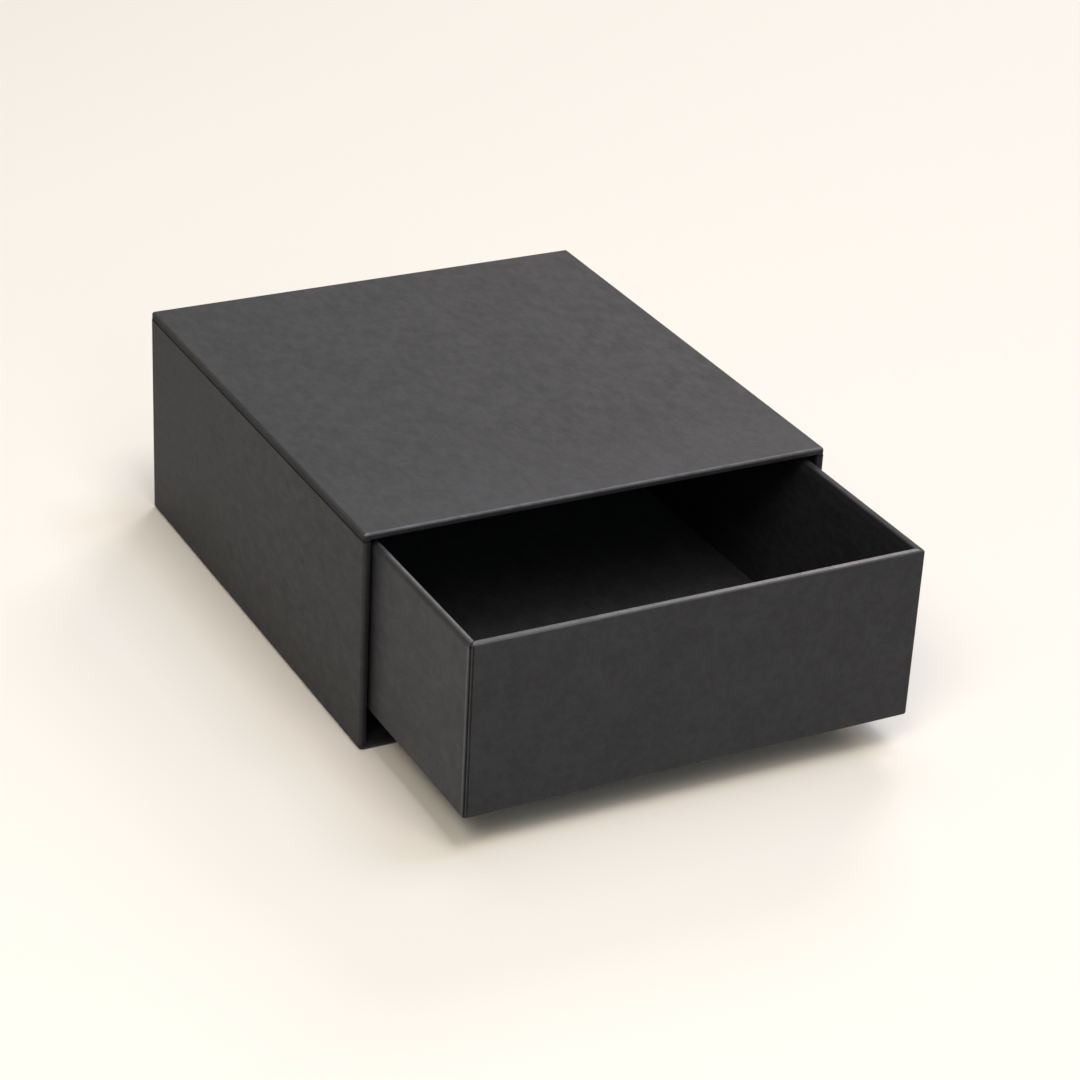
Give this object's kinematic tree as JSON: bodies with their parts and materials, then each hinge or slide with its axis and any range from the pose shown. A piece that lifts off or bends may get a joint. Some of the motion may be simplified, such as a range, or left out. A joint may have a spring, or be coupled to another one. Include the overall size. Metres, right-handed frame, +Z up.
{
  "type": "sliding drawer gift box",
  "caption": "Rigid gift box: a paper-covered drawer tray that slides in a closed-back sleeve on folded runners, with a finger gap under the drawer.",
  "frame": {"origin": "centre of the sleeve's underside, on the surface that the box stands on", "axes": "+X to the right seen from the drawer's front, +Y from the drawer's front to the sleeve's back, +Z up; the drawer slides out along -Y"},
  "size_m": [0.18, 0.272, 0.084],
  "materials": {
    "greyboard": "matte grey chipboard",
    "corner_tape": "matte gummed kraft tape",
    "cover_paper": "matte charcoal covering paper with a fine felt mark",
    "lining_paper": "matte black lining paper",
    "runner_card": "matte black card"
  },
  "bodies": {
    "sleeve": {"sleeve_top_board": "greyboard", "sleeve_base_board": "greyboard", "sleeve_left_board": "greyboard", "sleeve_right_board": "greyboard", "sleeve_back_board": "greyboard", "sleeve_tape_top_left": "corner_tape", "sleeve_tape_top_right": "corner_tape", "sleeve_tape_base_left": "corner_tape", "sleeve_tape_base_right": "corner_tape", "sleeve_top_cover": "cover_paper", "sleeve_left_cover": "cover_paper", "sleeve_right_cover": "cover_paper", "sleeve_back_cover": "cover_paper", "sleeve_base_cover": "cover_paper", "sleeve_wall_lining": "lining_paper", "sleeve_back_lining": "lining_paper", "runner_left": "runner_card", "runner_right": "runner_card"},
    "drawer": {"drawer_front_board": "greyboard", "drawer_back_board": "greyboard", "drawer_left_board": "greyboard", "drawer_right_board": "greyboard", "drawer_base_board": "greyboard", "drawer_tape_front_left": "corner_tape", "drawer_tape_front_right": "corner_tape", "drawer_tape_back_left": "corner_tape", "drawer_tape_back_right": "corner_tape", "drawer_wall_cover": "cover_paper", "drawer_base_cover": "cover_paper", "drawer_wall_lining": "lining_paper", "drawer_floor_lining": "lining_paper"}
  },
  "joints": [
    {"name": "drawer_slide", "type": "slide", "parent": "sleeve", "child": "drawer", "axis": [0, -1, 0], "range_m": [-0.072, 0.132]}
  ]
}
